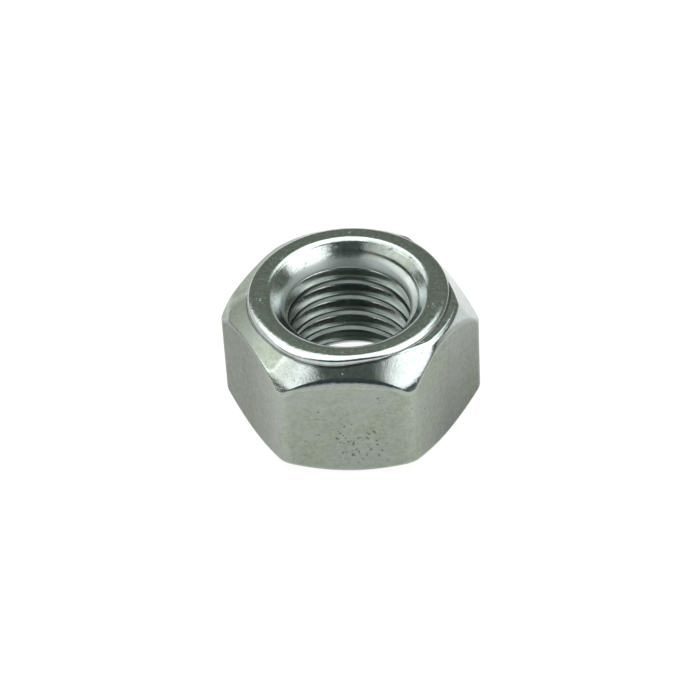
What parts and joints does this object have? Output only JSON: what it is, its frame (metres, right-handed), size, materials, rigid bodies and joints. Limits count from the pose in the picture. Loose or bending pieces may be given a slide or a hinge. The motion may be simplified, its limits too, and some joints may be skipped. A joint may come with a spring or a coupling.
{
  "type": "hex lock nut",
  "caption": "Hexagon all-metal lock nut with a raised round rim, a crown of pressed facets and a countersunk, threaded through bore.",
  "frame": {"origin": "centre of the thread on the bearing face", "axes": "+Z along the thread from the bearing face to the rim, -Y square on to the flat under the front facet, +X towards an upright corner edge"},
  "size_m": [0.0182, 0.016, 0.01],
  "materials": {
    "zinc_plated_steel": "satin zinc plate, brighter and smoother on the crown and rim"
  },
  "bodies": {
    "root": {"nut_body": "zinc_plated_steel"}
  },
  "joints": []
}
